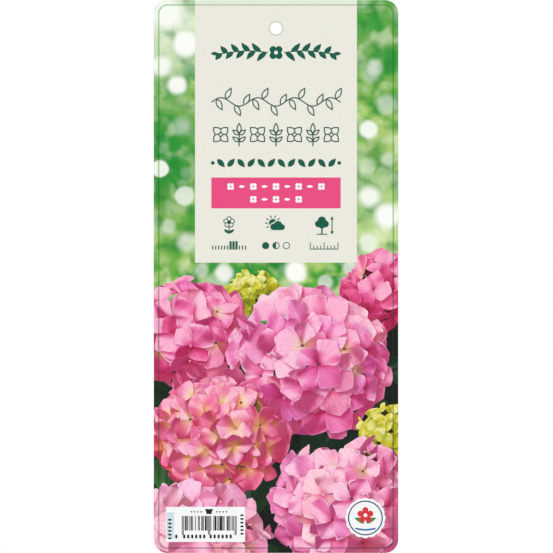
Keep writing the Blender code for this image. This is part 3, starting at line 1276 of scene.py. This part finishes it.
def makeLeafRow():
    # a bolder row of solid leaves between two dots
    layers = []
    length, width, slope = leafRow["leaf"]
    dx, dz = leafRow["foot"]
    for number in range(leafRow["count"]):
        x = -leafRow["reach"] + number * 2 * leafRow["reach"] / (leafRow["count"] - 1) + dx
        up = 1 if number % 2 else -1
        put(layers, leafOutline(x, leafRow["z"] + up * dz, length, width, up * slope))
    for side in (-1, 1):
        put(layers, disc(side * leafRow["dotX"], leafRow["z"], leafRow["dot"]))
    inkFilm("leaf_row", layers, deepGreen, 2)


banner = {
    "halfWidth": 26.2,
    "top": -60.4,
    "bottom": -72.9,
    "corner": 0.5,
    "rows": ((2.6, 9), (-2.6, 5)),  # height over the middle, and number of motifs
    "pitch": 4.6,
    "blossom": 1.6,
    "eye": 0.38,
    "leaf": (2.6, 1.1),
}


def makeBanner():
    # a pink bar with rows of small white blossoms and leaves
    half = banner["halfWidth"]
    bar = roundedBox(-half, half, banner["bottom"], banner["top"], banner["corner"])
    inkFilm("pink_banner", [(bar, True)], strongPink, 2)
    layers = []
    length, width = banner["leaf"]
    for height, count in banner["rows"]:
        z = (banner["top"] + banner["bottom"]) / 2 + height
        for number in range(count):
            x = (number - (count - 1) / 2) * banner["pitch"]
            if number % 2 == 0:
                put(layers, blossomOutline(x, z, banner["blossom"], 4, 45))
                clear(layers, disc(x, z, banner["eye"], 14))
            else:
                put(layers, leafOutline(x - length / 2, z, length, width, 0))
    inkFilm("banner_blossoms", layers, paperWhite, 3)


printPanel()
makeSprig()
makeVine()
makeLeafRow()
makeBanner()
print("panel ornaments printed")

# Growing signs: season, light and height, each over a small scale

signs = {
    "z": -79.8,
    "season": -19.0,
    "light": 0.0,
    "height": 18.6,
    "line": 0.45,
    "thinLine": 0.4,
    "seasonRise": 1.3,
    "petals": (5, 1.35, 1.05),  # number, distance from the middle, radius
    "sunPlace": (-1.2, 0.9),
    "rays": (10, (2.3, 2.7, 3.1)),
    "sun": 1.7,
    "puffs": ((0.2, -1.5, 1.3), (2.0, -0.8, 1.7), (3.6, -1.6, 1.2)),  # x, z, radius of a cloud's puffs
    "crown": ((0, 1.9, 1.7), (-1.4, 0.6, 1.4), (1.4, 0.6, 1.4), (0, 0.2, 1.5)),  # and of a bush's
    "ground": -3.6,
    "arrowX": 4.1,
    "arrow": (3.2, 3.7, 2.4, 0.75),  # half its shaft, its tip, the foot of the head and half its width
}
scales = {
    "z": -88.0,
    "month": (1.2, 0.24, 1.6),  # distance apart, half width, height
    "inFlower": ((6, 7, 8), 0.46, 3.4),
    "light": (4.2, 1.45, 0.32, 1.3),  # distance apart, radius, line, radius of the filling
    "ruleX": 0.9,
    "rule": (5.6, 0.35),
    "tick": (1.4, 0.17, 1.5, 2.8),  # distance apart, half width, height, height of every fourth
}


def makeSeasonSign():
    # a flower on its stalk
    layers = []
    x, z = signs["season"], signs["z"] + signs["seasonRise"]
    count, reach, radius = signs["petals"]
    for k in range(count):
        middle = around(x, z, reach, math.radians(90 + 360 / count * k))
        putLine(layers, disc(*middle, radius), signs["line"] * 0.8)
    put(layers, disc(x, z, 0.8))
    put(layers, strokeOutline([(x, z - 2.2 - 0.4 * i) for i in range(7)], signs["line"]))
    for side in (-1, 1):
        put(layers, leafOutline(x, z - 4.4, 2.6, 1.2, leaning(35, side)))
    inkFilm("season_sign", layers, deepGreen, 2)


def makeLightSign():
    # the sun half behind a cloud
    layers = []
    dx, dz = signs["sunPlace"]
    x, z = signs["light"] + dx, signs["z"] + dz
    count, reaches = signs["rays"]
    for k in range(count):
        ray = [around(x, z, reach, 2 * math.pi * k / count) for reach in reaches]
        put(layers, strokeOutline(ray, 0.42))
    put(layers, disc(x, z, signs["sun"], 28))
    puffs = signs["puffs"]
    left, right = x + puffs[0][0], x + puffs[-1][0]
    gap = signs["thinLine"]
    clear(layers, *(disc(x + dx, z + dz, radius + gap, 24) for dx, dz, radius in puffs))
    clear(layers, box(left - gap, right + gap, z - 2.8 - gap, z - 1.4))
    put(layers, *(disc(x + dx, z + dz, radius, 24) for dx, dz, radius in puffs))
    put(layers, box(left, right, z - 2.8, z - 1.4))
    inkFilm("light_sign", layers, deepGreen, 2)


def makeHeightSign():
    # a bush on the ground, with an arrow as tall as it beside it
    layers = []
    x, z, line = signs["height"], signs["z"], signs["thinLine"]
    ground = z + signs["ground"]
    put(layers, *(disc(x + dx, z + dz, radius, 24) for dx, dz, radius in signs["crown"]))
    put(layers, box(x - 0.3, x + 0.3, ground, z))
    put(layers, strokeOutline([(x + dx, ground) for dx in (-2.0, 0, 2.0)], line))
    arrowX = x + signs["arrowX"]
    shaft, tip, foot, half = signs["arrow"]
    put(layers, strokeOutline([(arrowX, z + dz) for dz in (-shaft, 0, shaft)], line))
    for up in (-1, 1):
        left, right = ((arrowX + side * half, z + up * foot) for side in (-1, 1))
        put(layers, [(arrowX, z + up * tip), left, right])
    inkFilm("height_sign", layers, deepGreen, 2)


def makeScales():
    # twelve months, three strengths of light, and a rule
    z = scales["z"]
    layers = []
    apart, half, tall = scales["month"]
    flowering, flowerHalf, flowerTall = scales["inFlower"]
    for month in range(12):
        x = signs["season"] + (month - 5.5) * apart
        wide, high = (flowerHalf, flowerTall) if month in flowering else (half, tall)
        put(layers, box(x - wide, x + wide, z - 1.6, z - 1.6 + high))
    inkFilm("month_scale", layers, deepGreen, 2)

    layers = []
    apart, radius, line, filling = scales["light"]
    places = [signs["light"] + (number - 1) * apart for number in range(3)]
    putLine(layers, disc(places[0], z, radius, 28), line)
    put(layers, disc(places[0], z, filling, 28))
    putLine(layers, disc(places[1], z, radius, 28), line)
    put(layers, [around(places[1], z, filling, a) for a in np.linspace(math.pi / 2, 3 * math.pi / 2, 16)])
    putLine(layers, disc(places[2], z, radius, 28), line)
    inkFilm("light_scale", layers, deepGreen, 2)

    layers = []
    middle = signs["height"] + scales["ruleX"]
    reach, line = scales["rule"]
    put(layers, strokeOutline([(middle + dx, z - 1.4) for dx in (-reach, 0, reach)], line))
    apart, half, short, tall = scales["tick"]
    for tick in range(9):
        x = middle + (tick - 4) * apart
        put(layers, box(x - half, x + half, z - 1.5, z - 1.5 + (short if tick % 4 else tall)))
    inkFilm("height_scale", layers, deepGreen, 2)


makeSeasonSign()
makeLightSign()
makeHeightSign()
makeScales()
print("growing signs printed")

# Foot of the label: a plain bar code and a round badge

code = {
    "left": -44.6,
    "right": -12.5,
    "top": -193.8,
    "bottom": -208.0,
    "strip": (0.3, 3.3, 1.5, 2.2),  # left and right from the box's left, foot and head from its own
    "barsLeft": -38.1,
    "barsTop": -197.5,
    "barsBottom": -203.4,
    "guardBottom": -205.2,
    "module": 0.2325,       # width of the narrowest bar
    "gain": 0.04,           # how far ink spreads to each side of a bar
    "guards": (3, 5, 3),    # long bars and gaps of one module, at both ends and in the middle
    "groups": 6,            # four bars and gaps each, between two of them
    "widths": ([1, 1, 2, 3], [1, 2, 2, 2], [1, 1, 1, 4]),
    "dots": (1.62, 0.42, -206.6, -205.0),  # distance apart, half width, foot and head
    "dotShifts": (-2.3, -0.7, 0.3),  # of the first dot, of those under the left half, and the right
    "potPlace": (1.4, -1.9),
    "potDots": (4, 3.2, 1.3, 0.32),  # on each side: number, first place, distance apart, radius
    "seed": 6,
}


def makeCode():
    frameBox = box(code["left"], code["right"], code["bottom"], code["top"])
    inkFilm("code_box", [(frameBox, True)], paperWhite)
    left, right, foot, head = code["strip"]
    strip = box(code["left"] + left, code["left"] + right, code["bottom"] + foot, code["top"] - head)
    inkFilm("code_strip", [(strip, True)], stripBlue, 2)

    rng = np.random.default_rng(code["seed"])
    layers = []
    at = code["barsLeft"]
    dark = True

    def putBars(widths, bottom):
        nonlocal at, dark
        for width in widths:
            wide = width * code["module"]
            if dark:
                put(layers, box(at - code["gain"], at + wide + code["gain"], bottom, code["barsTop"]))
            at += wide
            dark = not dark

    for number, guard in enumerate(code["guards"]):
        if number:
            groups = [rng.permutation(rng.choice(code["widths"])) for _ in range(code["groups"])]
            putBars(np.concatenate(groups), code["barsBottom"])
        putBars([1] * guard, code["guardBottom"])
    inkFilm("code_bars", layers, barBlack, 2)

    dots = []
    apart, half, foot, head = code["dots"]
    first, underLeft, underRight = code["dotShifts"]
    for number in range(13):
        shift = first if number == 0 else (underLeft if number < 7 else underRight)
        x = code["barsLeft"] + shift + number * apart
        put(dots, roundedBox(x - half, x + half, foot, head, 0.4))
    for number in range(6):
        z = code["top"] - 3.4 - number * 1.5
        put(dots, roundedBox(at + 1.6, at + 2.9, z - 0.35, z + 0.35, 0.3))
        put(dots, roundedBox(code["left"] + 0.9, code["left"] + 2.3, z - 2.2, z - 1.5, 0.3))
    inkFilm("code_dots", dots, barBlack, 3)

    dx, dz = code["potPlace"]
    x, z = (code["left"] + code["right"]) / 2 + dx, code["top"] + dz
    marks = []
    put(marks, [(x - 1.0, z - 1.0), (x + 1.0, z - 1.0), (x + 1.3, z + 0.5), (x - 1.3, z + 0.5)])
    put(marks, box(x - 1.6, x + 1.6, z + 0.4, z + 1.0))
    count, first, apart, radius = code["potDots"]
    for number in range(count):
        for side in (-1, 1):
            put(marks, disc(x + side * (first + apart * number), z - 0.1, radius, 12))
    inkFilm("pot_mark", marks, barBlack, 2)


badge = {
    "at": (36.2, -198.3),
    "radius": 8.2,
    "scallops": (16, 0.06),
    "ring": (0.86, 0.80),   # outer and inner radius, as shares of the badge's
    "flower": (1.1, 3.3, 0.8),  # height over the middle, radius, radius of the eye
    "leaf": (4.6, 1.9, 28),
    "leafFoot": (0.4, -2.2),
    "wave": (-3.8, -4.3, 0.5, 0.7),  # left end, height, sag, width of the line
}


def makeBadge():
    # a scalloped plate with a ring, a flower over two leaves, and a wave for the ground
    x, z = badge["at"]
    radius = badge["radius"]
    scallops, depth = badge["scallops"]
    plate = blossomOutline(x, z, radius, scallops, notch=depth, sides=192)
    inkFilm("badge_plate", [(plate, True)], paperWhite)
    outer, inner = (disc(x, z, radius * share, 72) for share in badge["ring"])
    inkFilm("badge_ring", [(outer, True), (inner, False)], badgeBlue, 2)
    height, reach, eye = badge["flower"]
    flower = blossomOutline(x, z + height, reach, 5, 90)
    inkFilm("badge_flower", [(flower, True), (disc(x, z + height, eye), False)], badgeRed, 3)
    leaves = []
    length, width, slope = badge["leaf"]
    dx, dz = badge["leafFoot"]
    for side in (-1, 1):
        leaf = leafOutline(x + side * dx, z + dz, length, width, leaning(slope, side), bend=0.08 * side)
        put(leaves, leaf)
    inkFilm("badge_leaves", leaves, badgeLeaf, 2)
    left, height, sag, line = badge["wave"]
    wave = [(x + left * (1 - 2 * t), z + height - sag * math.sin(math.pi * t))
            for t in np.linspace(0, 1, 20)]
    inkFilm("badge_wave", [(strokeOutline(wave, line), True)], badgeSky, 2)


makeCode()
makeBadge()
print("foot of the label printed")

# Studio

studio = {
    "floorDrop": 60.0,      # the tag hangs this far above the floor
    "floorReach": 1.2,      # in metres, as are the camera's distance and the lamps' places
    "floorPaintedShade": ("#C2C5C3", "#F6F6F4"),  # painted shade: grey on the viewer's side, where the room light is dimmer, and white towards the backdrop
    "distance": 2.4,
    "nudge": 0.2,           # the tag stands half a pixel left of the picture's middle
    # place on the right, width, power
    "side_key": ((1.5, -1.3, 0.25), 0.9, 12.8),
    "back_key": ((1.3, 1.4, 0.5), 0.9, 9.5),
    "top_soft": ((0.0, 0.0, 1.6), 2.0, 16.0),
    "ambient": 0.46,
    "background": 1.0,      # of the white backdrop behind the tag
    "frontRoom": 0.56,      # of the room on the viewer's side, against which the white back reads
}


def makeFloor():
    mesh = bpy.data.meshes.new("studio_floor")
    reach = studio["floorReach"]
    low = (sheet["bottom"] - studio["floorDrop"]) * mm
    mesh.from_pydata([(x, z, low) for x, z in box(-reach, reach, -reach, reach)], [], [(0, 1, 2, 3)])
    floor = bpy.data.objects.new("studio_floor", mesh)
    bpy.context.scene.collection.objects.link(floor)
    # a matt paper floor with painted shade: grey on the viewer's side, where the room light is dimmer,
    # fading to white towards the bright backdrop
    material = bpy.data.materials.new("mattPaperPaintedShade")
    material.use_nodes = True
    tree = material.node_tree
    tree.nodes.clear()
    where = addNode(tree, "TexCoord")
    parts = addNode(tree, "SeparateXYZ", {0: where.outputs["Object"]})
    share = addNode(tree, "MapRange", {"Value": parts.outputs["Y"], "From Min": -0.5, "From Max": 0.5},
                    interpolation_type="SMOOTHSTEP")
    near, far = map(rgba, studio["floorPaintedShade"])
    shadedPaper = addNode(tree, "Mix", {"Factor": share, "A": near, "B": far}, data_type="RGBA")
    shader = addNode(tree, "BsdfPrincipled", {"Base Color": shadedPaper, "Roughness": 0.8})
    addNode(tree, "OutputMaterial", {"Surface": shader})
    mesh.materials.append(material)


def addLamp(name, side, aim):
    (x, y, z), width, power = studio[name]
    lamp = bpy.data.lights.new(name, "AREA")
    lamp.energy = power
    lamp.size = width
    holder = bpy.data.objects.new(name, lamp)
    holder.location = (side * x, y, z)
    holder.rotation_euler = (Vector(aim) - holder.location).to_track_quat("-Z", "Y").to_euler()
    bpy.context.scene.collection.objects.link(holder)


def makeStudio():
    middle = (0.0, 0.0, (sheet["top"] + sheet["bottom"]) / 2 * mm)
    for side in (-1, 1):
        addLamp("side_key", side, middle)
        addLamp("back_key", side, middle)
    addLamp("top_soft", 1, middle)
    world = bpy.data.worlds.new("paleStudio")
    bpy.context.scene.world = world
    world.use_nodes = True
    tree = world.node_tree
    tree.nodes.clear()
    way = addNode(tree, "LightPath")
    where = addNode(tree, "TexCoord")
    parts = addNode(tree, "SeparateXYZ", {0: where.outputs["Generated"]})
    room = addNode(tree, "MapRange", {"Value": parts.outputs["Y"], "From Min": -0.5, "From Max": 0.4,
                                      "To Min": studio["frontRoom"], "To Max": studio["background"]})
    strength = addNode(tree, "MapRange", {"Value": way.outputs["Is Camera Ray"],
                                          "To Min": studio["ambient"], "To Max": room})
    glow = addNode(tree, "Background", {"Color": (1, 1, 1, 1), "Strength": strength})
    addNode(tree, "OutputWorld", {"Surface": glow})
    bpy.context.scene.view_settings.view_transform = "Standard"


def makeCamera():
    camera = bpy.data.cameras.new("straight_on")
    camera.sensor_width = 36.0
    camera.lens = camera.sensor_width * studio["distance"] / ((sheet["top"] - sheet["bottom"]) * mm)
    camera.clip_end = 20.0
    holder = bpy.data.objects.new("straight_on", camera)
    middle = (sheet["top"] + sheet["bottom"]) / 2 * mm
    holder.location = (studio["nudge"] * mm, -studio["distance"], middle)
    holder.rotation_euler = (math.radians(90), 0, 0)
    bpy.context.scene.collection.objects.link(holder)
    bpy.context.scene.camera = holder


makeFloor()
makeStudio()
makeCamera()
print("studio ready")
